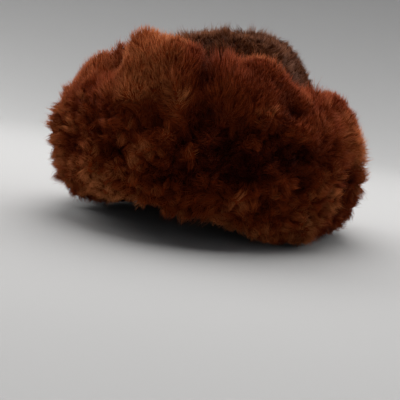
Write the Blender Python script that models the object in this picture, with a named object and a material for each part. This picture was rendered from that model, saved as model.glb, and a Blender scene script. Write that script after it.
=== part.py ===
"""A hat of deep curly fur: a domed crown with four flaps turned up round it.

The hat stands on the lower edge of its flaps, with the hollow for the head open below. Units are
metres and +Z is up. The front faces -Y and the wearer's left is +X. The origin is on the floor,
in the middle of the hat.

Every section round the hat is drawn on a ray from the upright axis. An angle is counted in
degrees from the middle of the front towards the wearer's left, and an offset is counted outwards
from the oval of the head. The fur lies in rows of pointed locks, each lock over the roots of two
in the next row, and the locks of a piece are one body with the pelt under them.
"""

import math
import random
from typing import NamedTuple

import bmesh
import bpy

# The hollow for the head: an upright oval with a domed top.
HEAD_LENGTH = 0.200
HEAD_WIDTH = 0.168
HEAD_DEPTH = 0.150
HEAD_WALL_TOP = 0.060

# The pelt's side wall, how far its foot is above the flaps' rim, and the gap between two pieces.
WALL = 0.007
WALL_FOOT = 0.002
WALL_TOP = 0.112
GAP = 0.0003

# The seams between the flaps, in degrees, and the crease in the fur along each.
FRONT_SEAM = 48.0
NECK_SEAM = 110.0
SEAM_HALF_GAP = 0.1
CREASE_SPREAD = 4.5
CREASE_DEPTH = 0.013
CREASE_DROP = 0.010

# The locks: how far their tips stand out, how many lie round the hat and over it, and how much
# they differ in height, in length and in the way they sway, as shares of a lock.
LOCK_HEIGHT = 0.010
LOCKS_ROUND_FLAPS = 56
LOCK_ROWS_ON_FLAP = 8
LOCKS_ROUND_CROWN = 28
LOCK_ROWS_ON_CROWN = 5
HEIGHT_SPREAD = 0.45
LENGTH_SPREAD = 0.40
SWAY = 0.45

# How far the rows of locks wander up and down, as a share of a row, and how often round the hat.
WANDER = 0.7
WANDER_TURNS = 7

# Rings of the mesh where the pelt is plain.
INNER_FACE_STEPS = 2
WALL_RINGS = 2
HOLLOW_RINGS = 6

FLAP_COLOUR = (0.058, 0.014, 0.006, 1.0)
CROWN_COLOUR = (0.066, 0.022, 0.010, 1.0)
FUR_ROUGHNESS = 0.9


class CuffRow(NamedTuple):
    """The turned-up flaps at one angle. Soft fur isn't quite the same at the left and right."""
    angle: float
    rim: float
    top: float
    reach: float


CUFF = (
    CuffRow(angle=-180, rim=0.000, top=0.142, reach=0.057),
    CuffRow(angle=-140, rim=0.000, top=0.145, reach=0.058),
    CuffRow(angle=-108, rim=0.000, top=0.142, reach=0.057),
    CuffRow(angle=-86, rim=0.000, top=0.149, reach=0.056),
    CuffRow(angle=-66, rim=0.000, top=0.153, reach=0.058),
    CuffRow(angle=-48, rim=0.003, top=0.143, reach=0.060),
    CuffRow(angle=-26, rim=0.019, top=0.154, reach=0.060),
    CuffRow(angle=0, rim=0.029, top=0.170, reach=0.058),
    CuffRow(angle=22, rim=0.030, top=0.173, reach=0.057),
    CuffRow(angle=48, rim=0.024, top=0.156, reach=0.055),
    CuffRow(angle=66, rim=0.016, top=0.171, reach=0.055),
    CuffRow(angle=86, rim=0.004, top=0.158, reach=0.056),
    CuffRow(angle=100, rim=0.000, top=0.144, reach=0.057),
    CuffRow(angle=112, rim=0.000, top=0.141, reach=0.058),
    CuffRow(angle=140, rim=0.000, top=0.145, reach=0.059),
    CuffRow(angle=180, rim=0.000, top=0.142, reach=0.057),
)


class PadRow(NamedTuple):
    """A flap's section: out from the wall (0) to the reach (1), up from the rim to the top."""
    along: float
    out: float
    up: float


PAD = (
    PadRow(along=0.00, out=0.42, up=0.00),
    PadRow(along=0.08, out=0.68, up=0.04),
    PadRow(along=0.18, out=0.89, up=0.15),
    PadRow(along=0.29, out=0.99, up=0.32),
    PadRow(along=0.41, out=1.00, up=0.50),
    PadRow(along=0.53, out=0.91, up=0.69),
    PadRow(along=0.65, out=0.73, up=0.85),
    PadRow(along=0.75, out=0.52, up=0.96),
    PadRow(along=0.82, out=0.34, up=1.00),
    PadRow(along=0.88, out=0.17, up=0.97),
    PadRow(along=0.94, out=0.06, up=0.90),
    PadRow(along=1.00, out=0.00, up=0.82),
)


class CrownRow(NamedTuple):
    """A ring of the crown's outside: its size is a share of the wall's oval."""
    along: float
    height: float
    size: float
    back: float


CROWN = (
    CrownRow(along=0.00, height=0.194, size=0.00, back=0.022),
    CrownRow(along=0.22, height=0.192, size=0.30, back=0.021),
    CrownRow(along=0.42, height=0.184, size=0.56, back=0.018),
    CrownRow(along=0.60, height=0.169, size=0.75, back=0.014),
    CrownRow(along=0.75, height=0.150, size=0.88, back=0.008),
    CrownRow(along=0.88, height=0.131, size=0.96, back=0.003),
    CrownRow(along=1.00, height=0.112, size=1.00, back=0.000),
)


class LockStep(NamedTuple):
    """A place along a lock, from its root to its tip, and how high its middle and edge stand."""
    along: float
    middle: float
    edge: float


LOCK = (
    LockStep(along=0.04, middle=0.20, edge=0.05),
    LockStep(along=0.48, middle=0.70, edge=0.05),
    LockStep(along=0.92, middle=1.00, edge=0.15),
)


class Lock(NamedTuple):
    """How one lock differs: its height, how much shorter it is and how far its tip sways."""
    height: float
    shorter: float
    sway: float


def read_rows(rows, at):
    """Reads a table at a value of its first column, on a smooth curve through its rows."""
    last = len(rows) - 1
    here = max(row for row in range(last) if rows[row][0] <= at or row == 0)
    before, start = rows[max(here - 1, 0)], rows[here]
    end, after = rows[here + 1], rows[min(here + 2, last)]
    span = end[0] - start[0]
    t = (at - start[0]) / span
    values = []
    for column in range(1, len(start)):
        slope_in = (end[column] - before[column]) / (end[0] - before[0]) * span
        slope_out = (after[column] - start[column]) / (after[0] - start[0]) * span
        values.append(
            (2 * t ** 3 - 3 * t ** 2 + 1) * start[column]
            + (t ** 3 - 2 * t ** 2 + t) * slope_in
            + (3 * t ** 2 - 2 * t ** 3) * end[column]
            + (t ** 3 - t ** 2) * slope_out
        )
    return type(start)(at, *values)


def wrap_angle(angle):
    """The same angle, from -180 to 180."""
    return (angle + 180) % 360 - 180


def point_at(angle, offset, height):
    """A point on the ray at an angle, an offset out from the head's oval."""
    turn = math.radians(angle)
    across = (HEAD_WIDTH / 2 + offset) * math.sin(turn)
    ahead = -(HEAD_LENGTH / 2 + offset) * math.cos(turn)
    return across, ahead, height


def cuff_at(angle):
    """The turned-up flaps at any angle. Their rim is never below the floor."""
    row = read_rows(CUFF, wrap_angle(angle))
    return row._replace(rim=max(row.rim, 0))


def crease(angle):
    """1 on a seam between two flaps, falling to 0 away from it."""
    side = abs(wrap_angle(angle))
    from_seam = min(abs(side - FRONT_SEAM), abs(side - NECK_SEAM))
    return math.exp(-(from_seam / CREASE_SPREAD) ** 2)


def grow_locks(seed, rows, columns):
    """Uneven locks for one piece, by row and column."""
    dice = random.Random(seed)
    return [
        [
            Lock(
                height=dice.uniform(1 - HEIGHT_SPREAD, 1 + HEIGHT_SPREAD),
                shorter=dice.uniform(0, LENGTH_SPREAD),
                sway=dice.uniform(-SWAY, SWAY),
            )
            for _ in range(columns)
        ]
        for _ in range(rows)
    ]


def lock_line(locks, column, angle):
    """The steps of the locks along one line of the mesh: place, rise and sideways sway.

    A line runs up the middle of the locks in every other row, and between two locks in the rest.
    """
    rows = len(locks)
    wander = WANDER / rows * math.sin(math.radians(angle) * WANDER_TURNS)
    for row in range(rows):
        lock = locks[row][column]
        in_middle = (row + column) % 2 == 0
        for step in LOCK:
            shorter = lock.shorter * step.along if in_middle else 0
            along = (row + step.along - shorter) / rows
            along += wander * math.sin(math.pi * along)
            rise = step.middle * lock.height if in_middle else step.edge
            yield along, LOCK_HEIGHT * rise, lock.sway * step.along if in_middle else 0


def pad_point(angle, along):
    """The offset and height of a flap's outside, without its locks."""
    row = cuff_at(angle)
    pad = read_rows(PAD, along)
    folded = crease(angle)
    reach = row.reach - WALL - GAP - CREASE_DEPTH * folded
    top = row.top - CREASE_DROP * folded
    offset = WALL + GAP + reach * max(pad.out, 0)
    height = row.rim + (top - row.rim) * max(pad.up, 0)
    return offset, height


def outward(section, along):
    """The direction out of a section at a place along it, in offset and height."""
    step = 0.01
    low = section(max(along - step, 0))
    high = section(min(along + step, 1))
    run, rise = high[0] - low[0], high[1] - low[1]
    length = math.hypot(run, rise)
    return rise / length, -run / length


def flap_loop(angle, turn, locks, column, sways):
    """The closed section of a flap at one angle, from the foot of its inner face."""
    foot = pad_point(angle, 0)[1]
    top = pad_point(angle, 1)[1]
    loop = [point_at(angle, WALL + GAP, foot), point_at(angle, *pad_point(angle, 0))]
    for along, rise, sway in lock_line(locks, column, angle):
        here = angle + sway * turn * sways
        offset, height = pad_point(here, along)
        side, up = outward(lambda place: pad_point(here, place), along)
        offset = max(offset + side * rise, WALL + GAP)
        loop.append(point_at(here, offset, max(height + up * rise, 0)))
    for step in range(INNER_FACE_STEPS):
        height = top + (foot - top) * step / INNER_FACE_STEPS
        loop.append(point_at(angle, WALL + GAP, height))
    return loop


def make_object(name, mesh, material):
    """A named object of one closed body, from a filled bmesh."""
    bmesh.ops.triangulate(mesh, faces=mesh.faces)
    bmesh.ops.recalc_face_normals(mesh, faces=mesh.faces)
    data = bpy.data.meshes.new(name)
    mesh.to_mesh(data)
    mesh.free()
    data.materials.append(material)
    piece = bpy.data.objects.new(name, data)
    bpy.context.scene.collection.objects.link(piece)
    return piece


def make_flap(name, start, end, material):
    """A thick flap of fur, turned up round the crown from one angle to another."""
    start += SEAM_HALF_GAP
    end -= SEAM_HALF_GAP
    columns = 2 * round((end - start) / 360 * LOCKS_ROUND_FLAPS)
    turn = (end - start) / columns
    locks = grow_locks(name, LOCK_ROWS_ON_FLAP, columns + 1)
    mesh = bmesh.new()
    rings = []
    for column in range(columns + 1):
        sways = 0 if column in (0, columns) else 1
        loop = flap_loop(start + column * turn, turn, locks, column, sways)
        rings.append([mesh.verts.new(point) for point in loop])
    for ring, following in zip(rings, rings[1:]):
        for here in range(len(ring)):
            beside = (here + 1) % len(ring)
            mesh.faces.new((ring[here], following[here], following[beside], ring[beside]))
    mesh.faces.new(rings[0])
    mesh.faces.new(rings[-1])
    return make_object(name, mesh, material)


def crown_section(along):
    """The crown's outside in the middle plane, without its locks."""
    row = read_rows(CROWN, along)
    return row.size * (HEAD_LENGTH / 2 + WALL), row.height


def crown_line(angle, turn, locks, column):
    """Points down the crown's outside at one angle, from beside its top to the wall."""
    points = []
    half_width = HEAD_WIDTH / 2 + WALL
    half_length = HEAD_LENGTH / 2 + WALL
    for along, rise, sway in lock_line(locks, column, angle):
        here = math.radians(angle + sway * turn)
        row = read_rows(CROWN, along)
        side, up = outward(crown_section, along)
        # Locks are short at the top, where they meet, and under the flaps' crest.
        rise *= 1 - (2 * along - 1) ** 2
        out = abs(side) * rise
        across = (row.size * half_width + out) * math.sin(here)
        ahead = row.back - (row.size * half_length + out) * math.cos(here)
        # The fur keeps inside the wall's own oval, clear of the flaps.
        keep = 1 / max(math.hypot(across / half_width, ahead / half_length), 1)
        points.append((across * keep, ahead * keep, row.height + abs(up) * rise))
    return points


def wall_line(angle):
    """Points down the outside of the side wall, then up its inside and over the hollow."""
    points = []
    foot = cuff_at(angle).rim + WALL_FOOT
    for step in range(WALL_RINGS + 1):
        height = WALL_TOP + (foot - WALL_TOP) * step / WALL_RINGS
        points.append(point_at(angle, WALL, height))
    for step in range(WALL_RINGS + 1):
        height = foot + (HEAD_WALL_TOP - foot) * step / WALL_RINGS
        points.append(point_at(angle, 0, height))
    across, ahead, _ = point_at(angle, 0, 0)
    for step in range(1, HOLLOW_RINGS):
        lift = math.radians(90 * step / HOLLOW_RINGS)
        height = HEAD_WALL_TOP + (HEAD_DEPTH - HEAD_WALL_TOP) * math.sin(lift)
        points.append((across * math.cos(lift), ahead * math.cos(lift), height))
    return points


def make_crown(material):
    """The crown and its side wall: one pelt, hollow for the head."""
    columns = 2 * LOCKS_ROUND_CROWN
    turn = 360 / columns
    locks = grow_locks("crown", LOCK_ROWS_ON_CROWN, columns)
    mesh = bmesh.new()
    top = mesh.verts.new((0, CROWN[0].back, CROWN[0].height))
    inner_top = mesh.verts.new((0, 0, HEAD_DEPTH))
    lines = []
    for column in range(columns):
        angle = column * turn
        points = crown_line(angle, turn, locks, column) + wall_line(angle)
        lines.append([mesh.verts.new(point) for point in points])
    for line, beside in zip(lines, lines[1:] + lines[:1]):
        mesh.faces.new((top, line[0], beside[0]))
        for here in range(len(line) - 1):
            mesh.faces.new((line[here], line[here + 1], beside[here + 1], beside[here]))
        mesh.faces.new((line[-1], inner_top, beside[-1]))
    return make_object("crown", mesh, material)


def fur_material(name, colour):
    """Dull, soft fur of one colour."""
    material = bpy.data.materials.new(name)
    material.use_nodes = True
    shader = material.node_tree.nodes["Principled BSDF"]
    shader.inputs["Base Color"].default_value = colour
    shader.inputs["Roughness"].default_value = FUR_ROUGHNESS
    shader.inputs["Metallic"].default_value = 0.0
    return material


def main():
    for thing in list(bpy.data.objects):
        bpy.data.objects.remove(thing, do_unlink=True)
    crown_fur = fur_material("crown_fur", CROWN_COLOUR)
    flap_fur = fur_material("flap_fur", FLAP_COLOUR)
    make_crown(crown_fur)
    make_flap("front_flap", -FRONT_SEAM, FRONT_SEAM, flap_fur)
    make_flap("ear_flap_left", FRONT_SEAM, NECK_SEAM, flap_fur)
    make_flap("ear_flap_right", -NECK_SEAM, -FRONT_SEAM, flap_fur)
    make_flap("neck_flap", NECK_SEAM, 360 - NECK_SEAM, flap_fur)


main()
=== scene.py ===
"""A hat of deep curly fur, dressed round its solids.

Every solid lends its form to a pelt: a smooth copy, drawn in by the depth of the fur, with the
lumps, partings and hollows of a soft skin. Geometry Nodes then grow hair on the pelt's outside, in
tufts that lean and curl together. Units are metres, +Z is up, the front faces -Y and the wearer's
left is +X. An angle is counted in degrees from the middle of the front towards the wearer's left.
"""

import math
from typing import NamedTuple

import bpy
import numpy as np
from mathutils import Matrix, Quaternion, Vector, noise


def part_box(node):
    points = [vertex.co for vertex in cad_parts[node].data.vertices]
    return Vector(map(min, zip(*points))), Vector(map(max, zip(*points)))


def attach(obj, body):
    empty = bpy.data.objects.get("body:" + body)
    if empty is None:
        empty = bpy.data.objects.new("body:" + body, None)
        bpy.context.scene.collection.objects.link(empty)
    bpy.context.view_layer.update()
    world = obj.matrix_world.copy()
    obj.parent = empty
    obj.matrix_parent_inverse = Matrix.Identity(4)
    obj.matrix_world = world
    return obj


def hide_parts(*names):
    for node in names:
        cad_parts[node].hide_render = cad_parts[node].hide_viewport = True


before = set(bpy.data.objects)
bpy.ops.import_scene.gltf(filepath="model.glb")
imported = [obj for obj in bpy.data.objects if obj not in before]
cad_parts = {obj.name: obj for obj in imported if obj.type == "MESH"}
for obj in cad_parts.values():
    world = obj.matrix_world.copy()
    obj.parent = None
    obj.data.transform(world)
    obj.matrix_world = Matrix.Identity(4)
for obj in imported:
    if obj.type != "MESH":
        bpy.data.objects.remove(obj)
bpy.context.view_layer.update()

MM = 0.001

# The oval of the crown's side wall, which the flaps lie against, from the crown's own box.
CROWN_LOW, CROWN_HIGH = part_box("crown")
WALL_HALF_WIDTH = (CROWN_HIGH.x - CROWN_LOW.x) / 2
WALL_HALF_LENGTH = (CROWN_HIGH.y - CROWN_LOW.y) / 2

# The height of the middle of the hollow, where the crown comes out of the flaps, and where the
# flaps' insides come away from it.
HOLLOW_MIDDLE = 0.060
CROWN_SHOWS_FROM = 0.105
FLAPS_FREE_FROM = 0.132

# The pelts. Corners of a solid that lie this near are one, and a pelt's faces are this wide. Then
# each corner moves by a share of the way to the middle of its neighbours, in so many rounds, which
# smooths the locks away.
ONE_CORNER = 0.01 * MM
PELT_FACE = 4.2 * MM
SMOOTHING_SHARE = 0.5
SMOOTHING_ROUNDS = 21

# Fur shows where a pelt reaches this far, as a share of the wall's oval, or past the oval at all
# where it looks away from the hollow at least this squarely.
CLEAR_OF_WALL = 1.04
LOOKS_AWAY = 0.3

# The swells of the tables move a pelt only where it looks away from the hollow. They come in
# between this squarely inwards and as squarely outwards.
SWELLS_FACING = 0.3

# The broad lumps of the fur, and the round curls on them. Curls lie in cells, with a crease round
# each. One share says how much of a cell the crease takes, the other how much of a curl's height
# lies under the level of the skin. A slower noise shifts the cells, so that they don't look like a
# net, and its seed is fixed because it would otherwise come from the clock. Curls are small and
# crisp low on the hat, and large and soft where the fur was combed up. That comes in between two
# heights, which wander up and down round the hat.
LUMP_SIZE = 45 * MM
LUMP_HEIGHT = 4.0 * MM
CURL_SIZE = 17 * MM
CURL_HEIGHT = 9.0 * MM
COMBED_SIZE = 32 * MM
COMBED_HEIGHT = 4.0 * MM
COMBED_FROM = 0.090
COMBED_ABOVE = 0.145
COMBED_WANDER = 0.030
CREASE_SHARE = 0.60
CREASE_DEPTH = 0.7
SHIFT_SIZE = 24 * MM
SHIFT = 0.6
SHIFT_SEED = 7

# How far a lump stands out for its fur to have its brightest tone: painted light on the lumps and
# painted shade in the creases. Then how much of that painted light the combed fur, high on the hat,
# has anyway, as the top of the hat is lit from above.
BRIGHTEST_RISE = 12 * MM
COMBED_PAINTED_LIGHT = 0.36

# Hair is longer over the seams between the flaps, most at their tops, and the skins of two flaps
# swell against each other there, so that no groove shows. On the faces that look into a seam less
# hair grows. The reaches are in degrees.
SEAM_REACH = 11
SEAM_GROWTH = 0.9
SEAM_LEAST_GROWTH = 0.3
SEAM_OPEN_BELOW = 0.120
SEAM_CLOSED_ABOVE = 0.150
SEAM_THINNING = 0.6
GROOVE_REACH = 6
GROOVE_FILL = 6 * MM

# How much shorter hair is in the deepest pockets.
POCKET_LOSS = 0.6

# How much more loosely hairs keep to their tufts in some places than in others. A noise says where,
# from nowhere at this much under zero to wholly at as much over it. At the hem less of that hold is
# left, hairs are shorter, and the skins swell at the seams only from half way up. Where the fur was
# combed up, hairs lean up more, swirl less and are shorter.
LOOSE_SIZE = 40 * MM
LOOSE_SHARE = 0.45
LOOSE_BETWEEN = 0.3
HEM_BELOW = 0.040
GROOVE_FROM = HEM_BELOW / 2
HEM_HOLD = 0.55
HEM_SHORTER = 0.25
COMBED_UPWARD = 1.2
COMBED_SWIRL_LOSS = 0.6
COMBED_SHORTER = 0.25

# A hair: its sides, and how wide its strip of the colour map is.
HAIR_SIDES = 3
HAIR_STRIP = 0.006

# The most triangles of one coat of one piece.
MOST_TRIANGLES = 192000

# Hair that lies on the floor is pressed flat, this thick at the root and at the tip.
PRESSED_ROOT = 0.4 * MM
PRESSED_TIP = 1.8 * MM

# For the tree of nodes: tufts tried on a square metre, and the seed of each random choice.
TUFTS_TRIED = 90000
TUFT_SEED = 10
TUFT_WAY_SEED = 11
TUFT_TONE_SEED = 12
LENGTH_SEED = 13
HAIR_WAY_SEED = 14
SPIN_SEED = 15
TONE_SEED = 16

# Each piece has this many seeds of its own, one for each of its coats.
SEEDS_A_PIECE = 10

# How much darker a hair is at its root, as painted shade deep in the pile, and lighter at its tip,
# as painted light.
ROOT_SHADE = 0.75
TIP_SHADE = 1.15

# The size of the swirls that neighbouring hairs follow together, their strength, and the middle of
# the noise that they come from.
FLOW_SIZE = 16 * MM
SWIRL_STRENGTH = 4.0
NOISE_MIDDLE = (0.5, 0.5, 0.5)

# How the hairs of a coat differ: their length, where they bend, and how much of a hair's tone
# comes from how far its skin stands out, as painted light and shade, from its tuft and from itself,
# round the middle tone.
SHORTEST_HAIR = 0.70
LONGEST_HAIR = 1.25
BEND_AT = 0.5
MIDDLE_TONE = 0.5
RISE_TONE = 0.46
TUFT_TONE = 0.16
OWN_TONE = 0.04

# Attributes that the nodes leave on the hair, and that nothing reads once it is grown.
STORED = (
    "furry", "grow", "shade", "combed", "hold", "root", "bend", "tip", "spin", "tone", "place",
)

# Square centimetres in a square metre.
SQUARE_METRE = 10000

# The colours of the dyed fur: deep in the pile, with painted shade, half way, where it stands out,
# with painted light, and of its sheen.
RED_FUR = ("#300400", "#8c3812", "#cc7c48", "#c08060")
GREY_FUR = ("#2a0c03", "#74401f", "#7a5646", "#a08870")

# The colours of the wool at the skin: deep in the pockets, with painted shade, and where it stands
# out, with painted light. Then how wide its mottles are, and how deep they look.
RED_WOOL = ("#240200", "#863410")
GREY_WOOL = ("#200c05", "#643820")
MOTTLE_SIZE = 3 * MM
MOTTLE_DEPTH = 1.5 * MM


class Coat(NamedTuple):
    """How fur grows. Hairs are a square centimetre's, and lengths are in millimetres.

    Real hairs are too fine to show, so these are as thick, and as few, as they need to be. They
    have one step, which keeps them straight, or more. They follow the swirls of the fur by the
    curl, go their own ways by the stray, and meet in tufts by the pull.
    """
    hairs: float
    steps: int
    length: float
    radius: float
    tuft: float
    pull: float
    curl: float
    stray: float
    upward: float


LONG_DOWN = Coat(hairs=56, steps=1, length=9, radius=0.34, tuft=8.0, pull=0.70,
                 curl=1.0, stray=0.20, upward=0.10)
LONG_TIPS = Coat(hairs=9, steps=2, length=12, radius=0.36, tuft=8.0, pull=0.80,
                 curl=1.0, stray=0.20, upward=0.20)
SHORT_DOWN = Coat(hairs=50, steps=1, length=6, radius=0.34, tuft=5.0, pull=0.60,
                  curl=0.8, stray=0.25, upward=0.10)
SHORT_TIPS = Coat(hairs=11, steps=2, length=9, radius=0.34, tuft=5.0, pull=0.85,
                  curl=0.8, stray=0.25, upward=0.15)


class Swell(NamedTuple):
    """A curl of the fur, or a pocket where the rise is negative, in degrees and millimetres.

    The tone says how much brighter its hair and wool are, as painted light, or darker where it is
    negative, as painted shade. Tones add up, and the sum is kept between -1 and 1.
    """
    angle: float
    height: float
    wide: float
    tall: float
    rise: float
    tone: float


# The crown is drawn in at the front and behind the left ear. It has painted shade where the flaps
# in front would shade it, and painted light on top and low behind them.
CROWN_SWELLS = (
    Swell(angle=0, height=180, wide=45, tall=22, rise=-6, tone=0.1),
    Swell(angle=122, height=160, wide=26, tall=20, rise=-10, tone=0.5),
    Swell(angle=138, height=168, wide=26, tall=20, rise=-12, tone=0),
    Swell(angle=90, height=165, wide=60, tall=20, rise=0, tone=0.5),
    Swell(angle=38, height=182, wide=34, tall=18, rise=3, tone=-0.4),
    Swell(angle=62, height=176, wide=60, tall=12, rise=0, tone=-0.9),
    Swell(angle=60, height=206, wide=80, tall=12, rise=0, tone=0.45),
)

FLAP_SWELLS = (
    # The round front, and the uneven tops and lower edges of the flaps, with painted light on some
    # rises and painted shade between them and under the left ear flap's top.
    Swell(angle=-16, height=88, wide=28, tall=32, rise=8, tone=0.7),
    Swell(angle=-14, height=52, wide=20, tall=18, rise=6, tone=0.3),
    Swell(angle=-1, height=156, wide=26, tall=16, rise=-20, tone=0),
    Swell(angle=22, height=168, wide=26, tall=18, rise=11, tone=0.8),
    Swell(angle=39, height=162, wide=20, tall=18, rise=25, tone=-0.7),
    Swell(angle=54, height=168, wide=18, tall=14, rise=-16, tone=0),
    Swell(angle=63, height=152, wide=26, tall=20, rise=5, tone=-0.4),
    Swell(angle=80, height=132, wide=22, tall=18, rise=0, tone=-0.65),
    Swell(angle=99, height=158, wide=16, tall=12, rise=-14, tone=0),
    Swell(angle=126, height=134, wide=14, tall=14, rise=4, tone=-0.5),
    Swell(angle=6, height=160, wide=11, tall=12, rise=-16, tone=0),
    Swell(angle=13, height=174, wide=8, tall=9, rise=10, tone=0.1),
    Swell(angle=30, height=170, wide=10, tall=12, rise=6, tone=0),
    Swell(angle=38, height=22, wide=10, tall=12, rise=4, tone=0),
    # Broad patches of painted light and painted shade.
    Swell(angle=22, height=132, wide=26, tall=18, rise=0, tone=0.6),
    Swell(angle=38, height=124, wide=12, tall=12, rise=0, tone=0.6),
    Swell(angle=77, height=80, wide=16, tall=12, rise=0, tone=-0.4),
    Swell(angle=-2, height=102, wide=12, tall=18, rise=0, tone=0.4),
    Swell(angle=-4, height=72, wide=10, tall=9, rise=-2, tone=-0.7),
    Swell(angle=24, height=80, wide=26, tall=18, rise=0, tone=0.55),
    Swell(angle=4, height=26, wide=40, tall=14, rise=0, tone=0.4),
    Swell(angle=118, height=150, wide=12, tall=10, rise=0, tone=-0.8),
    Swell(angle=100, height=140, wide=14, tall=10, rise=0, tone=-0.3),
    # The bulge behind the left ear, with painted light on it, and painted shade in front of it.
    Swell(angle=124, height=78, wide=32, tall=44, rise=6, tone=0.5),
    Swell(angle=132, height=80, wide=16, tall=28, rise=0, tone=1.1),
    Swell(angle=123, height=94, wide=14, tall=18, rise=0, tone=0.6),
    Swell(angle=95, height=108, wide=16, tall=14, rise=0, tone=-0.4),
    # The hem, drawn in left of the brow and behind the left ear, and painted paler than the fur
    # over it, as light bounced up from below.
    Swell(angle=22, height=20, wide=18, tall=14, rise=-10, tone=0.3),
    Swell(angle=122, height=14, wide=28, tall=16, rise=-8, tone=0),
    Swell(angle=6, height=38, wide=38, tall=30, rise=0, tone=0.7),
    Swell(angle=52, height=12, wide=44, tall=15, rise=0, tone=0.9),
    Swell(angle=96, height=24, wide=26, tall=22, rise=0, tone=0.85),
    # The ridge in front of the seam behind the left ear, with a painted highlight, and the painted
    # shade behind it.
    Swell(angle=104, height=48, wide=7, tall=24, rise=3, tone=0.9),
    Swell(angle=130, height=48, wide=12, tall=22, rise=5, tone=-0.5),
    # The painted shade of the left side's dark middle, and of its pockets.
    Swell(angle=52, height=88, wide=78, tall=30, rise=-1, tone=-0.85),
    Swell(angle=44, height=143, wide=14, tall=14, rise=-4, tone=-1.0),
    Swell(angle=45, height=108, wide=8, tall=14, rise=-6, tone=-0.5),
    Swell(angle=9, height=94, wide=7, tall=6, rise=-8, tone=-0.7),
    Swell(angle=16, height=78, wide=14, tall=9, rise=-10, tone=-1.0),
    Swell(angle=31, height=109, wide=16, tall=7, rise=-8, tone=-0.3),
    Swell(angle=33, height=57, wide=16, tall=10, rise=-8, tone=-0.7),
    Swell(angle=56, height=90, wide=19, tall=13, rise=-9, tone=-0.5),
    Swell(angle=44, height=60, wide=12, tall=10, rise=-7, tone=-0.8),
    Swell(angle=64, height=68, wide=17, tall=11, rise=-8, tone=-0.8),
    Swell(angle=74, height=40, wide=11, tall=9, rise=-7, tone=-0.7),
    Swell(angle=88, height=90, wide=12, tall=11, rise=-8, tone=-0.7),
    Swell(angle=87, height=64, wide=11, tall=8, rise=-6, tone=-0.6),
    Swell(angle=85, height=128, wide=14, tall=6, rise=-7, tone=-0.6),
    # The deep crease at the seam behind the left ear, with painted shade in it.
    Swell(angle=116, height=68, wide=9, tall=12, rise=-13, tone=-1.8),
    Swell(angle=118, height=47, wide=8, tall=14, rise=-11, tone=-2.0),
    Swell(angle=116, height=28, wide=9, tall=12, rise=-12, tone=-1.8),
    # The clearest curls of the front and the left side, with painted light on them.
    Swell(angle=8, height=72, wide=6, tall=8, rise=7, tone=0.6),
    Swell(angle=7, height=55, wide=9, tall=6, rise=5, tone=0.4),
    Swell(angle=13, height=45, wide=12, tall=7, rise=5, tone=0.4),
    Swell(angle=34, height=93, wide=11, tall=8, rise=14, tone=0.9),
    Swell(angle=28, height=82, wide=7, tall=5, rise=8, tone=0.9),
    Swell(angle=44, height=83, wide=7, tall=7, rise=12, tone=1.4),
    Swell(angle=63, height=99, wide=7, tall=6, rise=8, tone=0.9),
    Swell(angle=69, height=120, wide=10, tall=8, rise=6, tone=0.5),
    Swell(angle=86, height=108, wide=9, tall=6, rise=7, tone=0.6),
    Swell(angle=78, height=64, wide=6, tall=5, rise=7, tone=0.8),
    Swell(angle=46, height=43, wide=10, tall=5, rise=6, tone=0.6),
    Swell(angle=66, height=46, wide=15, tall=5, rise=6, tone=0.7),
    # The right side and the back: painted shade on the middle, and in pockets.
    Swell(angle=-88, height=76, wide=90, tall=38, rise=0, tone=-0.4),
    Swell(angle=175, height=76, wide=90, tall=38, rise=0, tone=-0.4),
    Swell(angle=-52, height=84, wide=18, tall=12, rise=-8, tone=-0.7),
    Swell(angle=-70, height=58, wide=14, tall=10, rise=-7, tone=-0.7),
    Swell(angle=-84, height=96, wide=17, tall=12, rise=-8, tone=-0.6),
    Swell(angle=-102, height=64, wide=20, tall=11, rise=-8, tone=-0.7),
    Swell(angle=-124, height=88, wide=16, tall=13, rise=-7, tone=-0.6),
    Swell(angle=-146, height=54, wide=18, tall=12, rise=-8, tone=-0.7),
    Swell(angle=-166, height=86, wide=17, tall=11, rise=-8, tone=-0.6),
    Swell(angle=172, height=58, wide=15, tall=12, rise=-7, tone=-0.7),
    Swell(angle=152, height=90, wide=18, tall=11, rise=-8, tone=-0.6),
)

# The angles of the seams between the front flap, the ear flaps and the neck flap.
SEAMS = (-110, -48, 48, 110)


class Piece(NamedTuple):
    """A solid, the slot of its finish, its two materials, and its skin's depth, form and coats.

    Combed says how much of its fur's tufts and swirls is combed out high on the hat.
    """
    node: str
    slot: str
    skin: str
    hair: str
    depth: float
    combed: float
    swells: tuple
    coats: tuple


FLAP = {"slot": "flap_fur", "skin": "red_underfur", "hair": "red_fur", "depth": 4.0,
        "combed": 0.80, "swells": FLAP_SWELLS, "coats": (LONG_DOWN, LONG_TIPS)}

PIECES = (
    Piece(node="crown", slot="crown_fur", skin="grey_underfur", hair="grey_fur", depth=-1.0,
          combed=0.0, swells=CROWN_SWELLS, coats=(SHORT_DOWN, SHORT_TIPS)),
    Piece(node="front_flap", **FLAP),
    Piece(node="ear_flap_left", **FLAP),
    Piece(node="ear_flap_right", **FLAP),
    Piece(node="neck_flap", **FLAP),
)

# The stage: a round floor with a curved rise to a wall.
FLOOR_RADIUS = 1.0
BEND_RADIUS = 1.0
WALL_HEIGHT = 3.0
STAGE_SIDES = 96
BEND_STEPS = 16
PAPER = "#9c9ea0"

# The camera, in metres and degrees from the middle of the hat, and the nearest that it sees.
HAT_MIDDLE = (0, 0, 0.09)
CAMERA_TURN = 50
CAMERA_RISE = 4
CAMERA_ROLL = 7
CAMERA_DISTANCE = 0.79
AIMED_ASIDE = (-0.0002, -0.0076, -0.0681)
LENS = 67.5
NEAREST_SEEN = 0.01

SKY = "#e6e3e0"
SKY_STRENGTH = 0.18


class Lamp(NamedTuple):
    """A round soft lamp, in metres, watts and degrees from the middle of the hat."""
    name: str
    turn: float
    rise: float
    distance: float
    size: float
    power: float
    colour: str


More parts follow.
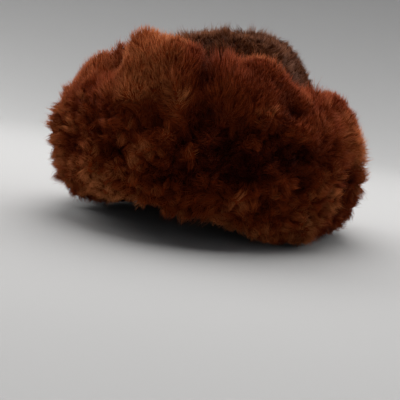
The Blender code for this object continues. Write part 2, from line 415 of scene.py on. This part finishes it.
LAMPS = (
    Lamp(name="top", turn=230, rise=75, distance=1.3, size=1.6, power=35, colour="#fffaf6"),
    Lamp(name="left", turn=-65, rise=30, distance=1.5, size=1.1, power=14, colour="#fffcf8"),
    Lamp(name="right", turn=165, rise=30, distance=1.5, size=1.1, power=9, colour="#fffcf8"),
)


def linear(code):
    """An sRGB hex colour as linear red, green, blue and alpha."""
    channels = []
    for start in (1, 3, 5):
        value = int(code[start:start + 2], 16) / 255
        channels.append(value / 12.92 if value <= 0.04045 else ((value + 0.055) / 1.055) ** 2.4)
    return (*channels, 1.0)


def add(tree, kind, inputs=None, **settings):
    """Adds a node with its settings. An input is a value, or the socket that it is linked from."""
    node = tree.nodes.new(kind)
    for name, value in settings.items():
        setattr(node, name, value)
    for name, value in (inputs or {}).items():
        if isinstance(value, bpy.types.NodeSocket):
            tree.links.new(value, node.inputs[name])
        else:
            node.inputs[name].default_value = value
    return node


# Materials


def new_material(name, finish):
    """A material with only a shader of a finish, and its output."""
    material = bpy.data.materials.new(name)
    material.use_nodes = True
    tree = material.node_tree
    tree.nodes.clear()
    shader = add(tree, "ShaderNodeBsdfPrincipled", finish)
    add(tree, "ShaderNodeOutputMaterial", {"Surface": shader.outputs["BSDF"]})
    return material, tree, shader


def dyed_fur_painted_light_and_shade(name, deep, middle, bright, sheen):
    """Dyed curly lambskin, with painted shade making it dark and red deep in the pile, and painted
    light making it paler and browner where it stands out.

    Across the colour map each hair has its own tone, which carries that painted light and shade,
    and up the map it lightens from painted shade at its root to its tip.
    """
    material, tree, shader = new_material(name, {
        "Roughness": 0.7, "Diffuse Roughness": 1.0, "Specular IOR Level": 0.05,
        "Sheen Weight": 0.05, "Sheen Roughness": 0.5, "Sheen Tint": linear(sheen),
    })
    place = add(tree, "ShaderNodeUVMap", uv_map="OFBake")
    parts = add(tree, "ShaderNodeSeparateXYZ", {"Vector": place.outputs["UV"]})
    tones = add(tree, "ShaderNodeValToRGB", {"Fac": parts.outputs["X"]})
    colours = tones.color_ramp.elements
    colours[0].color = linear(deep)
    colours[1].color = linear(bright)
    colours.new(MIDDLE_TONE).color = linear(middle)
    along = add(tree, "ShaderNodeMapRange", {
        "Value": parts.outputs["Y"], "To Min": ROOT_SHADE, "To Max": TIP_SHADE,
    })
    coloured = add(tree, "ShaderNodeVectorMath", {
        0: tones.outputs["Color"], "Scale": along.outputs["Result"],
    }, operation="SCALE")
    tree.links.new(coloured.outputs["Vector"], shader.inputs["Base Color"])
    return material


def dense_underfur(name, deep, bright):
    """The felted wool at the skin, seen between hairs: mottled, painted shade in pockets, painted
    light on rises, no gloss.
    """
    material, tree, shader = new_material(name, {"Roughness": 0.95, "Specular IOR Level": 0.05})
    place = add(tree, "ShaderNodeTexCoord")
    mottle = add(tree, "ShaderNodeTexNoise", {
        "Vector": place.outputs["Object"], "Scale": 1 / MOTTLE_SIZE, "Detail": 3.0,
    })
    shade = add(tree, "ShaderNodeAttribute", attribute_name="shade")
    raised = add(tree, "ShaderNodeMath", {
        0: shade.outputs["Fac"], 1: RISE_TONE, 2: mottle.outputs["Fac"],
    }, operation="MULTIPLY_ADD", use_clamp=True)
    colours = add(tree, "ShaderNodeMix", {
        0: raised.outputs[0], 6: linear(deep), 7: linear(bright),
    }, data_type="RGBA")
    bump = add(tree, "ShaderNodeBump", {
        "Height": mottle.outputs["Fac"], "Strength": 0.6, "Distance": MOTTLE_DEPTH,
    })
    tree.links.new(colours.outputs[2], shader.inputs["Base Color"])
    tree.links.new(bump.outputs["Normal"], shader.inputs["Normal"])
    return material


# Pelts


def plain_copy(thing, name):
    """A new object with another's evaluated mesh, its modifiers applied."""
    bpy.context.view_layer.update()
    evaluated = thing.evaluated_get(bpy.context.evaluated_depsgraph_get())
    mesh = bpy.data.meshes.new_from_object(evaluated)
    mesh.name = name
    made = bpy.data.objects.new(name, mesh)
    bpy.context.scene.collection.objects.link(made)
    return made


def read_points(mesh):
    """The places and the normals of a mesh's vertices, as rows."""
    places = np.empty(len(mesh.vertices) * 3)
    normals = np.empty(len(mesh.vertices) * 3)
    mesh.vertices.foreach_get("co", places)
    mesh.vertex_normals.foreach_get("vector", normals)
    return places.reshape(-1, 3), normals.reshape(-1, 3)


def smooth_copy(node):
    """A solid's form without its locks, in even faces."""
    copy = bpy.data.objects.new("copy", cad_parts[node].data.copy())
    bpy.context.scene.collection.objects.link(copy)
    weld = copy.modifiers.new("weld", "WELD")
    weld.merge_threshold = ONE_CORNER
    even = copy.modifiers.new("even faces", "REMESH")
    even.mode = "VOXEL"
    even.voxel_size = PELT_FACE
    smooth = copy.modifiers.new("smooth", "SMOOTH")
    smooth.factor = SMOOTHING_SHARE
    smooth.iterations = SMOOTHING_ROUNDS
    pelt = plain_copy(copy, node + "_pelt")
    bpy.data.objects.remove(copy)
    return pelt


def facing_out(places, normals):
    """How squarely a face looks away from the hollow's middle, from 1 to -1 for inwards."""
    away = places - np.array([0, 0, HOLLOW_MIDDLE])
    away /= np.linalg.norm(away, axis=1)[:, None]
    return (normals * away).sum(axis=1)


def shows_fur(places, normals, node):
    """1 where a pelt's fur shows, 0 where it lines the hollow or lies against another piece."""
    from_wall = np.hypot(places[:, 0] / WALL_HALF_WIDTH, places[:, 1] / WALL_HALF_LENGTH)
    outwards = facing_out(places, normals)
    outside = (from_wall > CLEAR_OF_WALL) | (outwards > LOOKS_AWAY) & (from_wall > 1)
    if node == "crown":
        free = (places[:, 2] > CROWN_SHOWS_FROM) & (outwards > 0)
    else:
        free = places[:, 2] > FLAPS_FREE_FROM
    return np.where(outside | free, 1.0, 0.0)


def round_the_hat(places):
    """The angle of each place round the hat in degrees, and its reach from the middle."""
    angles = np.degrees(np.arctan2(places[:, 0], -places[:, 1]))
    return angles, np.hypot(places[:, 0], places[:, 1])


def turned_from(angles, angle):
    """How many degrees each angle lies from one angle, the short way round."""
    return (angles - angle + 180) % 360 - 180


def ramp(values, low, high):
    """0 below the low value, 1 above the high one, and a smooth rise between them."""
    part = np.clip((values - low) / (high - low), 0, 1)
    return part * part * (3 - 2 * part)


def curls(places, size):
    """How far round curls of a size stand out at each place, as a share of their height.

    It is most in the middle of a curl, and least in the creases between two.
    """
    noise.seed_set(SHIFT_SEED)
    heights = []
    for place in places:
        shift = noise.noise_vector(Vector(place) / SHIFT_SIZE) * SHIFT
        nearest, second = noise.voronoi(Vector(place) / size + shift)[0][:2]
        inside = min((second - nearest) / CREASE_SHARE, 1)
        heights.append(inside * (2 - inside) - CREASE_DEPTH)
    return np.array(heights)


def soft_noise(places, size):
    """A smooth noise at each place, about from -0.6 to 0.6, with swells of a size.

    Mirrored places give another noise.
    """
    return np.array([noise.noise(Vector(place) / size) for place in places])


def combed_up(places):
    """How much of the fur of each place was combed up: none low on the hat, all of it high."""
    wander = COMBED_WANDER * soft_noise(-places, LUMP_SIZE)
    return ramp(places[:, 2] + wander, COMBED_FROM, COMBED_ABOVE)


def lumps(places, combed):
    """How far soft fur stands out or sinks at each place."""
    broad = soft_noise(places, LUMP_SIZE)
    crisp = CURL_HEIGHT * curls(places, CURL_SIZE)
    soft = COMBED_HEIGHT * curls(places, COMBED_SIZE)
    return LUMP_HEIGHT * broad + crisp * (1 - combed) + soft * combed


def swells(places, table):
    """How far each place stands out or sinks by a table of swells, and the painted light and shade
    they give it.
    """
    angles, reach = round_the_hat(places)
    rises = np.zeros(len(places))
    tones = np.zeros(len(places))
    for row in table:
        across = np.radians(turned_from(angles, row.angle)) * reach / (row.wide * MM)
        up = (places[:, 2] - row.height * MM) / (row.tall * MM)
        part = np.exp(-across ** 2 - up ** 2)
        rises += row.rise * MM * part
        tones += row.tone * part
    return rises, tones


def near_seams(places, reach):
    """1 at a seam between two flaps, and less with the angle away from it."""
    angles, _ = round_the_hat(places)
    return sum(np.exp(-(turned_from(angles, seam) / reach) ** 2) for seam in SEAMS)


def growth(places, shade, combed):
    """How long the hair of each place is, against its coat's: long over seams, short in pockets."""
    closed = ramp(places[:, 2], SEAM_OPEN_BELOW, SEAM_CLOSED_ABOVE)
    longer = SEAM_LEAST_GROWTH + (SEAM_GROWTH - SEAM_LEAST_GROWTH) * closed
    hem = 1 - ramp(places[:, 2], 0, HEM_BELOW)
    shorter = POCKET_LOSS * ramp(-shade, 0, 1) + COMBED_SHORTER * combed + HEM_SHORTER * hem
    return 1 + longer * near_seams(places, SEAM_REACH) - shorter


def holding(places, combed):
    """How strongly the hairs of each place meet in tufts: less where the fur is combed or loose."""
    loose = soft_noise(-places, LOOSE_SIZE)
    hem = HEM_HOLD + (1 - HEM_HOLD) * ramp(places[:, 2], 0, HEM_BELOW)
    return (1 - combed) * hem * (1 - LOOSE_SHARE * ramp(loose, -LOOSE_BETWEEN, LOOSE_BETWEEN))


def facing_seam(places, normals):
    """How squarely a face looks round the hat, as those in the seams between two flaps do."""
    reach = np.maximum(np.hypot(places[:, 0], places[:, 1]), MM)
    return np.abs(normals[:, 0] * places[:, 1] - normals[:, 1] * places[:, 0]) / reach


def groove_fill(places, node):
    """How far the skins of two flaps swell against each other at the seam between them."""
    fill = GROOVE_FILL * near_seams(places, GROOVE_REACH) * (node != "crown")
    return fill * ramp(places[:, 2], GROOVE_FROM, HEM_BELOW)


def finish_pelt(pelt, places, marks, material):
    """Moves a pelt's corners to their places over the floor, and writes marks for the nodes."""
    places[:, 2] = np.maximum(places[:, 2], PRESSED_ROOT)
    pelt.data.vertices.foreach_set("co", places.ravel())
    pelt.data.update()
    pelt.data.polygons.foreach_set("use_smooth", [True] * len(pelt.data.polygons))
    pelt.data.materials.clear()
    pelt.data.materials.append(material)
    for name, values in marks.items():
        attribute = pelt.data.attributes.new(name, "FLOAT", "POINT")
        attribute.data.foreach_set("value", values)


def make_pelt(row, material):
    """The skin of one piece, with its dense underfur, at a depth under the face of its solid."""
    pelt = smooth_copy(row.node)
    places, normals = read_points(pelt.data)
    furry = shows_fur(places, normals, row.node)
    open_face = 1 - facing_seam(places, normals)
    high = combed_up(places)
    combed = row.combed * high
    lumpy = lumps(places, high)
    swollen, tones = swells(places, row.swells)
    # The shade mark: painted light on lumps, rises and the top of the hat, painted shade in creases
    # and pockets.
    shade = np.clip(lumpy / BRIGHTEST_RISE + tones + COMBED_PAINTED_LIGHT * high, -1, 1)
    marks = {
        "furry": furry * (1 - SEAM_THINNING * (1 - open_face)),
        "grow": growth(places, shade, combed),
        "shade": shade,
        "combed": combed,
        "hold": holding(places, combed),
    }
    rises = lumpy + swollen * ramp(facing_out(places, normals), -SWELLS_FACING, SWELLS_FACING)
    groove = groove_fill(places, row.node)
    places += normals * (((rises - row.depth * MM) * open_face + groove) * furry)[:, None]
    finish_pelt(pelt, places, marks, material)
    return pelt


# Fur


FUR_INPUTS = {
    "Pelt": "NodeSocketGeometry",
    "Hairs": "NodeSocketFloat",
    "Steps": "NodeSocketInt",
    "Length": "NodeSocketFloat",
    "Radius": "NodeSocketFloat",
    "Tuft Size": "NodeSocketFloat",
    "Pull": "NodeSocketFloat",
    "Curl": "NodeSocketFloat",
    "Stray": "NodeSocketFloat",
    "Upward": "NodeSocketFloat",
    "Fur": "NodeSocketMaterial",
    "Seed": "NodeSocketInt",
}


def leaning_way(tree, given, normal, seed):
    """The way a tuft or a hair points: out from the skin, along the swirls, and a little up."""
    place = add(tree, "GeometryNodeInputPosition")
    swirls = add(tree, "ShaderNodeTexNoise", {
        "Vector": place.outputs[0], "Scale": 1 / FLOW_SIZE, "Detail": 1.0,
    })
    centred = add(tree, "ShaderNodeVectorMath", {
        0: swirls.outputs["Color"], 1: NOISE_MIDDLE,
    }, operation="SUBTRACT")
    aside = add(tree, "FunctionNodeRandomValue", {
        0: (-1, -1, -1), 1: (1, 1, 1), "Seed": seed,
    }, data_type="FLOAT_VECTOR")
    combed = add(tree, "GeometryNodeInputNamedAttribute", {"Name": "combed"}, data_type="FLOAT")
    strength = add(tree, "ShaderNodeMapRange", {
        "Value": combed.outputs[0], "To Min": SWIRL_STRENGTH,
        "To Max": SWIRL_STRENGTH * (1 - COMBED_SWIRL_LOSS),
    })
    curl = add(tree, "ShaderNodeMath", {
        0: given["Curl"], 1: strength.outputs[0],
    }, operation="MULTIPLY")
    way = normal
    for turn, share in ((centred, curl.outputs[0]), (aside, given["Stray"])):
        scaled = add(tree, "ShaderNodeVectorMath", {
            0: turn.outputs[0], "Scale": share,
        }, operation="SCALE")
        way = add(tree, "ShaderNodeVectorMath", {
            0: way, 1: scaled.outputs[0],
        }, operation="ADD").outputs[0]
    rising = add(tree, "ShaderNodeMath", {
        0: combed.outputs[0], 1: COMBED_UPWARD, 2: given["Upward"],
    }, operation="MULTIPLY_ADD")
    upward = add(tree, "ShaderNodeCombineXYZ", {"Z": rising.outputs[0]})
    raised = add(tree, "ShaderNodeVectorMath", {0: way, 1: upward.outputs[0]}, operation="ADD")
    return add(tree, "ShaderNodeVectorMath", {
        0: raised.outputs[0],
    }, operation="NORMALIZE").outputs[0]


def grow_tufts(tree, given, furry):
    """Points spread evenly over the pelt, each with its way of leaning and its tone."""
    spread = add(tree, "GeometryNodeDistributePointsOnFaces", {
        "Mesh": given["Pelt"], "Distance Min": given["Tuft Size"], "Density Max": TUFTS_TRIED,
        "Density Factor": furry, "Seed": TUFT_SEED,
    }, distribute_method="POISSON")
    way = leaning_way(tree, given, spread.outputs["Normal"], TUFT_WAY_SEED)
    tone = add(tree, "FunctionNodeRandomValue", {"Seed": TUFT_TONE_SEED}, data_type="FLOAT")
    leaning = add(tree, "GeometryNodeStoreNamedAttribute", {
        "Geometry": spread.outputs["Points"], "Name": "way", "Value": way,
    }, data_type="FLOAT_VECTOR")
    return add(tree, "GeometryNodeStoreNamedAttribute", {
        "Geometry": leaning.outputs[0], "Name": "tuft tone", "Value": tone.outputs[1],
    }, data_type="FLOAT").outputs[0]


def nearest_tuft(tree, tufts):
    """The place, the way and the tone of the tuft nearest to each hair's root."""
    nearest = add(tree, "GeometryNodeSampleNearest", {"Geometry": tufts})
    place = add(tree, "GeometryNodeInputPosition")
    way = add(tree, "GeometryNodeInputNamedAttribute", {"Name": "way"}, data_type="FLOAT_VECTOR")
    tone = add(tree, "GeometryNodeInputNamedAttribute", {"Name": "tuft tone"}, data_type="FLOAT")
    found = []
    for field, kind in ((place, "FLOAT_VECTOR"), (way, "FLOAT_VECTOR"), (tone, "FLOAT")):
        found.append(add(tree, "GeometryNodeSampleIndex", {
            "Geometry": tufts, "Value": field.outputs[0], "Index": nearest.outputs[0],
        }, data_type=kind).outputs[0])
    return found


def hair_length(tree, given):
    """How long a hair is: by its coat, by chance, and by how well fur grows at its root."""
    uneven = add(tree, "FunctionNodeRandomValue", {
        2: SHORTEST_HAIR, 3: LONGEST_HAIR, "Seed": LENGTH_SEED,
    }, data_type="FLOAT")
    grow = add(tree, "GeometryNodeInputNamedAttribute", {"Name": "grow"}, data_type="FLOAT")
    length = given["Length"]
    for factor in (uneven.outputs[1], grow.outputs[0]):
        length = add(tree, "ShaderNodeMath", {
            0: length, 1: factor,
        }, operation="MULTIPLY").outputs[0]
    return length


def hair_tip(tree, given, root, own_way, tuft_place, tuft_way, length):
    """Where a hair's tip is: a hair's length out along its own way, pulled to its tuft's tip."""
    tips = []
    for start, way in ((root, own_way), (tuft_place, tuft_way)):
        reach = add(tree, "ShaderNodeVectorMath", {0: way, "Scale": length}, operation="SCALE")
        tips.append(add(tree, "ShaderNodeVectorMath", {
            0: start, 1: reach.outputs[0],
        }, operation="ADD").outputs[0])
    hold = add(tree, "GeometryNodeInputNamedAttribute", {"Name": "hold"}, data_type="FLOAT")
    pull = add(tree, "ShaderNodeMath", {0: given["Pull"], 1: hold.outputs[0]}, operation="MULTIPLY")
    return add(tree, "ShaderNodeMix", {
        0: pull.outputs[0], 4: tips[0], 5: tips[1],
    }, data_type="VECTOR").outputs[1]


def plan_hairs(tree, given, furry, tufts):
    """The hairs' roots, each with the bend and the tip of its curve and its tone."""
    density = add(tree, "ShaderNodeMath", {0: given["Hairs"], 1: furry}, operation="MULTIPLY")
    spread = add(tree, "GeometryNodeDistributePointsOnFaces", {
        "Mesh": given["Pelt"], "Density": density.outputs[0], "Seed": given["Seed"],
    })
    normal = spread.outputs["Normal"]
    root = add(tree, "GeometryNodeInputPosition").outputs[0]
    tuft_place, tuft_way, tuft_tone = nearest_tuft(tree, tufts)
    length = hair_length(tree, given)
    own_way = leaning_way(tree, given, normal, HAIR_WAY_SEED)
    tip = hair_tip(tree, given, root, own_way, tuft_place, tuft_way, length)
    half_length = add(tree, "ShaderNodeMath", {0: length, 1: BEND_AT}, operation="MULTIPLY")
    straight = add(tree, "ShaderNodeVectorMath", {
        0: normal, "Scale": half_length.outputs[0],
    }, operation="SCALE")
    bend = add(tree, "ShaderNodeVectorMath", {0: root, 1: straight.outputs[0]}, operation="ADD")
    spin = add(tree, "FunctionNodeRandomValue", {
        0: (-1, -1, -1), 1: (1, 1, 1), "Seed": SPIN_SEED,
    }, data_type="FLOAT_VECTOR")
    hairs = spread.outputs["Points"]
    fields = {"root": root, "bend": bend.outputs[0], "tip": tip, "spin": spin.outputs[0]}
    for name, field in fields.items():
        hairs = add(tree, "GeometryNodeStoreNamedAttribute", {
            "Geometry": hairs, "Name": name, "Value": field,
        }, data_type="FLOAT_VECTOR").outputs[0]
    return add(tree, "GeometryNodeStoreNamedAttribute", {
        "Geometry": hairs, "Name": "tone", "Value": hair_tone(tree, tuft_tone),
    }, data_type="FLOAT").outputs[0]


def hair_tone(tree, tuft_tone):
    """A hair's tone, from 0 to 1: painted light where the fur stands out, painted shade where it
    sinks, uneven by tuft and hair.
    """
    own = add(tree, "FunctionNodeRandomValue", {
        2: MIDDLE_TONE - OWN_TONE, 3: MIDDLE_TONE + OWN_TONE, "Seed": TONE_SEED,
    }, data_type="FLOAT")
    shade = add(tree, "GeometryNodeInputNamedAttribute", {"Name": "shade"}, data_type="FLOAT")
    raised = add(tree, "ShaderNodeMath", {
        0: shade.outputs[0], 1: RISE_TONE, 2: own.outputs[1],
    }, operation="MULTIPLY_ADD")
    centred = add(tree, "ShaderNodeMath", {0: tuft_tone, 1: MIDDLE_TONE}, operation="SUBTRACT")
    hold = add(tree, "GeometryNodeInputNamedAttribute", {"Name": "hold"}, data_type="FLOAT")
    held = add(tree, "ShaderNodeMath", {
        0: centred.outputs[0], 1: hold.outputs[0],
    }, operation="MULTIPLY")
    tone = add(tree, "ShaderNodeMath", {
        0: held.outputs[0], 1: 2 * TUFT_TONE, 2: raised.outputs[0],
    }, operation="MULTIPLY_ADD")
    return add(tree, "ShaderNodeClamp", {
        "Value": tone.outputs[0], "Min": HAIR_STRIP * 2, "Max": 1 - HAIR_STRIP * 2,
    }).outputs[0]


def hair_template(tree, given):
    """One upright hair, closed and tapered, that keeps each vertex's place on itself."""
    cone = add(tree, "GeometryNodeMeshCone", {
        "Vertices": HAIR_SIDES, "Side Segments": given["Steps"], "Radius Top": 0.0,
        "Radius Bottom": 1.0, "Depth": 1.0,
    })
    place = add(tree, "GeometryNodeInputPosition")
    return add(tree, "GeometryNodeStoreNamedAttribute", {
        "Geometry": cone.outputs["Mesh"], "Name": "place", "Value": place.outputs[0],
    }, data_type="FLOAT_VECTOR").outputs[0]


def hair_curve(tree, read, along):
    """The place on a hair's curve at a share of its length, and a line along the curve there."""
    first, second = (
        add(tree, "ShaderNodeMix", {
            0: along, 4: read[start].outputs[0], 5: read[end].outputs[0],
        }, data_type="VECTOR").outputs[1]
        for start, end in (("root", "bend"), ("bend", "tip"))
    )
    middle = add(tree, "ShaderNodeMix", {0: along, 4: first, 5: second}, data_type="VECTOR")
    line = add(tree, "ShaderNodeVectorMath", {0: second, 1: first}, operation="SUBTRACT")
    return middle.outputs[1], line.outputs[0]


def over_the_floor(tree, place, along):
    """A place on a hair, raised where it would be in the floor, as fur that is pressed flat is."""
    apart = add(tree, "ShaderNodeSeparateXYZ", {"Vector": place})
    pressed = add(tree, "ShaderNodeMapRange", {
        "Value": along, "To Min": PRESSED_ROOT, "To Max": PRESSED_TIP,
    })
    above = add(tree, "ShaderNodeMath", {
        0: apart.outputs["Z"], 1: pressed.outputs[0],
    }, operation="MAXIMUM")
    return add(tree, "ShaderNodeCombineXYZ", {
        "X": apart.outputs["X"], "Y": apart.outputs["Y"], "Z": above.outputs[0],
    }).outputs[0]


def bend_hairs(tree, given, hairs):
    """Every realized hair laid along its own curve, and pressed flat on the floor."""
    read = {
        name: add(tree, "GeometryNodeInputNamedAttribute", {"Name": name}, data_type="FLOAT_VECTOR")
        for name in ("place", "root", "bend", "tip", "spin")
    }
    parts = add(tree, "ShaderNodeSeparateXYZ", {"Vector": read["place"].outputs[0]})
    along = parts.outputs["Z"]
    place, line = hair_curve(tree, read, along)
    side = read["spin"].outputs[0]
    for axis in ("X", "Y"):
        crossed = add(tree, "ShaderNodeVectorMath", {
            0: line, 1: side,
        }, operation="CROSS_PRODUCT")
        side = add(tree, "ShaderNodeVectorMath", {
            0: crossed.outputs[0],
        }, operation="NORMALIZE").outputs[0]
        thick = add(tree, "ShaderNodeMath", {
            0: parts.outputs[axis], 1: given["Radius"],
        }, operation="MULTIPLY")
        out = add(tree, "ShaderNodeVectorMath", {
            0: side, "Scale": thick.outputs[0],
        }, operation="SCALE")
        place = add(tree, "ShaderNodeVectorMath", {
            0: place, 1: out.outputs[0],
        }, operation="ADD").outputs[0]
    return add(tree, "GeometryNodeSetPosition", {
        "Geometry": hairs, "Position": over_the_floor(tree, place, along),
    }).outputs[0]


def map_hairs(tree, hairs):
    """The colour map: a hair's tone across, and its length up, in a narrow strip of its own."""
    place = add(tree, "GeometryNodeInputNamedAttribute", {
        "Name": "place",
    }, data_type="FLOAT_VECTOR")
    tone = add(tree, "GeometryNodeInputNamedAttribute", {"Name": "tone"}, data_type="FLOAT")
    parts = add(tree, "ShaderNodeSeparateXYZ", {"Vector": place.outputs[0]})
    strip = add(tree, "ShaderNodeMath", {
        0: parts.outputs["X"], 1: HAIR_STRIP, 2: tone.outputs[0],
    }, operation="MULTIPLY_ADD")
    height = add(tree, "ShaderNodeMapRange", {
        "Value": parts.outputs["Z"], "To Min": 2 * HAIR_STRIP, "To Max": 1 - HAIR_STRIP,
    })
    turned = add(tree, "ShaderNodeMath", {
        0: parts.outputs["Y"], 1: HAIR_STRIP, 2: height.outputs[0],
    }, operation="MULTIPLY_ADD")
    spot = add(tree, "ShaderNodeCombineXYZ", {"X": strip.outputs[0], "Y": turned.outputs[0]})
    return add(tree, "GeometryNodeStoreNamedAttribute", {
        "Geometry": hairs, "Name": "OFBake", "Value": spot.outputs[0],
    }, data_type="FLOAT2", domain="CORNER").outputs[0]


def fur_tree():
    """The nodes that grow the fur of one pelt."""
    tree = bpy.data.node_groups.new("fur", "GeometryNodeTree")
    for name, kind in FUR_INPUTS.items():
        tree.interface.new_socket(name, in_out="INPUT", socket_type=kind)
    tree.interface.new_socket("Hair", in_out="OUTPUT", socket_type="NodeSocketGeometry")
    given = add(tree, "NodeGroupInput").outputs
    furry = add(tree, "GeometryNodeInputNamedAttribute", {"Name": "furry"}, data_type="FLOAT")
    tufts = grow_tufts(tree, given, furry.outputs[0])
    roots = plan_hairs(tree, given, furry.outputs[0], tufts)
    planted = add(tree, "GeometryNodeInstanceOnPoints", {
        "Points": roots, "Instance": hair_template(tree, given),
    })
    real = add(tree, "GeometryNodeRealizeInstances", {"Geometry": planted.outputs[0]})
    hairs = map_hairs(tree, bend_hairs(tree, given, real.outputs[0]))
    smooth = add(tree, "GeometryNodeSetShadeSmooth", {"Geometry": hairs})
    coloured = add(tree, "GeometryNodeSetMaterial", {
        "Geometry": smooth.outputs[0], "Material": given["Fur"],
    })
    add(tree, "NodeGroupOutput", {"Hair": coloured.outputs[0]})
    return tree


def furry_area(pelt):
    """The area of a pelt's outside, in square metres, less where little hair grows."""
    furry = np.empty(len(pelt.data.vertices))
    pelt.data.attributes["furry"].data.foreach_get("value", furry)
    return sum(face.area * furry[face.vertices[0]] for face in pelt.data.polygons)


def grow_fur(tree, pelt, name, coat, material, seed):
    """One coat of hair on a pelt, as a plain mesh."""
    grown = bpy.data.objects.new("grown", pelt.data)
    bpy.context.scene.collection.objects.link(grown)
    triangles = HAIR_SIDES * (2 * coat.steps - 1) + 1
    most = MOST_TRIANGLES / triangles / furry_area(pelt)
    values = {
        "Hairs": min(coat.hairs * SQUARE_METRE, most),
        "Steps": coat.steps,
        "Length": coat.length * MM,
        "Radius": coat.radius * MM,
        "Tuft Size": coat.tuft * MM,
        "Pull": coat.pull,
        "Curl": coat.curl,
        "Stray": coat.stray,
        "Upward": coat.upward,
        "Fur": material,
        "Seed": seed,
    }
    nodes = grown.modifiers.new("fur", "NODES")
    nodes.node_group = tree
    for socket in tree.interface.items_tree:
        if socket.in_out == "INPUT" and socket.name in values:
            nodes[socket.identifier] = values[socket.name]
    fur = plain_copy(grown, name)
    bpy.data.objects.remove(grown)
    for attribute in STORED:
        fur.data.attributes.remove(fur.data.attributes[attribute])
    return fur


# Stage


def make_stage():
    """A pale round floor that curves up into a wall all round, with no edge to see."""
    outline = []
    for step in range(BEND_STEPS + 1):
        turn = math.radians(90 * step / BEND_STEPS)
        out = FLOOR_RADIUS + BEND_RADIUS * math.sin(turn)
        outline.append((out, BEND_RADIUS * (1 - math.cos(turn))))
    outline.append((outline[-1][0], WALL_HEIGHT))
    places = [(0, 0, 0)]
    for out, height in outline:
        for step in range(STAGE_SIDES):
            turn = math.tau * step / STAGE_SIDES
            places.append((out * math.cos(turn), out * math.sin(turn), height))
    faces = [(0, 1 + step, 1 + (step + 1) % STAGE_SIDES) for step in range(STAGE_SIDES)]
    for ring in range(len(outline) - 1):
        start = 1 + ring * STAGE_SIDES
        for step in range(STAGE_SIDES):
            beside = (step + 1) % STAGE_SIDES
            faces.append((
                start + step, start + step + STAGE_SIDES,
                start + beside + STAGE_SIDES, start + beside,
            ))
    mesh = bpy.data.meshes.new("floor")
    mesh.from_pydata(places, [], faces)
    mesh.polygons.foreach_set("use_smooth", [True] * len(mesh.polygons))
    material, _, _ = new_material("matt_paper", {"Base Color": linear(PAPER), "Roughness": 0.9})
    mesh.materials.append(material)
    floor = bpy.data.objects.new("floor", mesh)
    bpy.context.scene.collection.objects.link(floor)


def aim(thing, place, target, roll=0):
    """Puts a lamp or a camera at a place, looking at a target."""
    back = Vector(place) - Vector(target)
    thing.rotation_mode = "QUATERNION"
    turned = back.to_track_quat("Z", "Y")
    thing.rotation_quaternion = turned @ Quaternion((0, 0, 1), math.radians(roll))
    thing.location = place


def on_sphere(turn, rise, distance):
    """A place at a turn round the hat and a rise over the floor, from the middle of the hat."""
    turn, rise = math.radians(turn), math.radians(rise)
    way = Vector((
        math.sin(turn) * math.cos(rise), -math.cos(turn) * math.cos(rise), math.sin(rise),
    ))
    return Vector(HAT_MIDDLE) + way * distance


def make_camera():
    """The view from the front left, nearly level, leaning to one side."""
    data = bpy.data.cameras.new("camera")
    data.lens = LENS
    data.clip_start = NEAREST_SEEN
    camera = bpy.data.objects.new("camera", data)
    bpy.context.scene.collection.objects.link(camera)
    place = on_sphere(CAMERA_TURN, CAMERA_RISE, CAMERA_DISTANCE)
    aim(camera, place, Vector(HAT_MIDDLE) + Vector(AIMED_ASIDE), CAMERA_ROLL)
    bpy.context.scene.camera = camera


def make_lights():
    """Soft light, mostly from above."""
    for row in LAMPS:
        data = bpy.data.lights.new(row.name, "AREA")
        data.shape = "DISK"
        data.size = row.size
        data.energy = row.power
        data.color = linear(row.colour)[:3]
        lamp = bpy.data.objects.new(row.name, data)
        bpy.context.scene.collection.objects.link(lamp)
        aim(lamp, on_sphere(row.turn, row.rise, row.distance), HAT_MIDDLE)
    world = bpy.data.worlds.new("sky")
    world.use_nodes = True
    sky = world.node_tree.nodes["Background"]
    sky.inputs["Color"].default_value = linear(SKY)
    sky.inputs["Strength"].default_value = SKY_STRENGTH
    bpy.context.scene.world = world
    bpy.context.scene.view_settings.view_transform = "Standard"


def make_hat():
    """Every piece: its pelt, which stands for the solid, and its fur."""
    materials = {
        "red_underfur": dense_underfur("felted_red_underfur", *RED_WOOL),
        "grey_underfur": dense_underfur("felted_grey_underfur", *GREY_WOOL),
        "red_fur": dyed_fur_painted_light_and_shade("red_brown_lambskin", *RED_FUR),
        "grey_fur": dyed_fur_painted_light_and_shade("grey_brown_lambskin", *GREY_FUR),
    }
    tree = fur_tree()
    for place, row in enumerate(PIECES):
        skin, hair = materials[row.skin], materials[row.hair]
        pelt = make_pelt(row, skin)
        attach(pelt, "root")
        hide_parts(row.node)
        for layer, coat in enumerate(row.coats):
            name = f"{row.node}_fur_{layer + 1}"
            fur = grow_fur(tree, pelt, name, coat, hair, SEEDS_A_PIECE * place + layer)
            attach(fur, "root")


make_stage()
make_camera()
make_lights()
make_hat()
